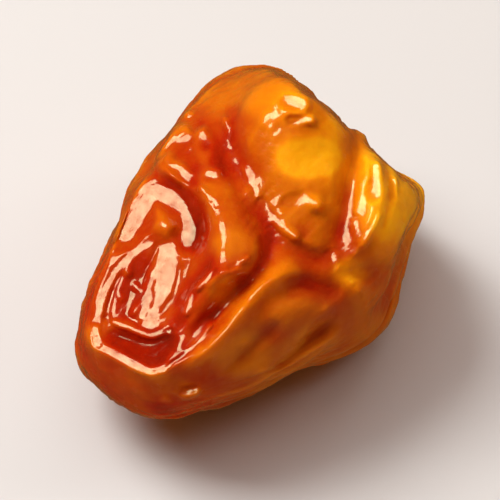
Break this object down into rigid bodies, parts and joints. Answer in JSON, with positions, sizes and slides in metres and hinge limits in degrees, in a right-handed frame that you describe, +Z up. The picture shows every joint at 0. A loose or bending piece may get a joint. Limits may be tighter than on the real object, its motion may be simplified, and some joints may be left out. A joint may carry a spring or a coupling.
{
  "type": "date",
  "caption": "A ripe, half-dried date, amber brown and glossy, deeply wrinkled, lying on its flatter side.",
  "frame": {"origin": "middle of the fruit's box at its base, on the flat spot that it rests on", "axes": "+X from the narrow tip to the blunt stem end, +Y across the fruit, +Z up from the flat spot"},
  "size_m": [0.0404, 0.029, 0.0268],
  "materials": {
    "date_skin": "wet-looking gloss over translucent amber-brown skin, darker red in the creases and towards the tip"
  },
  "bodies": {
    "root": {"date": "date_skin"}
  },
  "joints": []
}
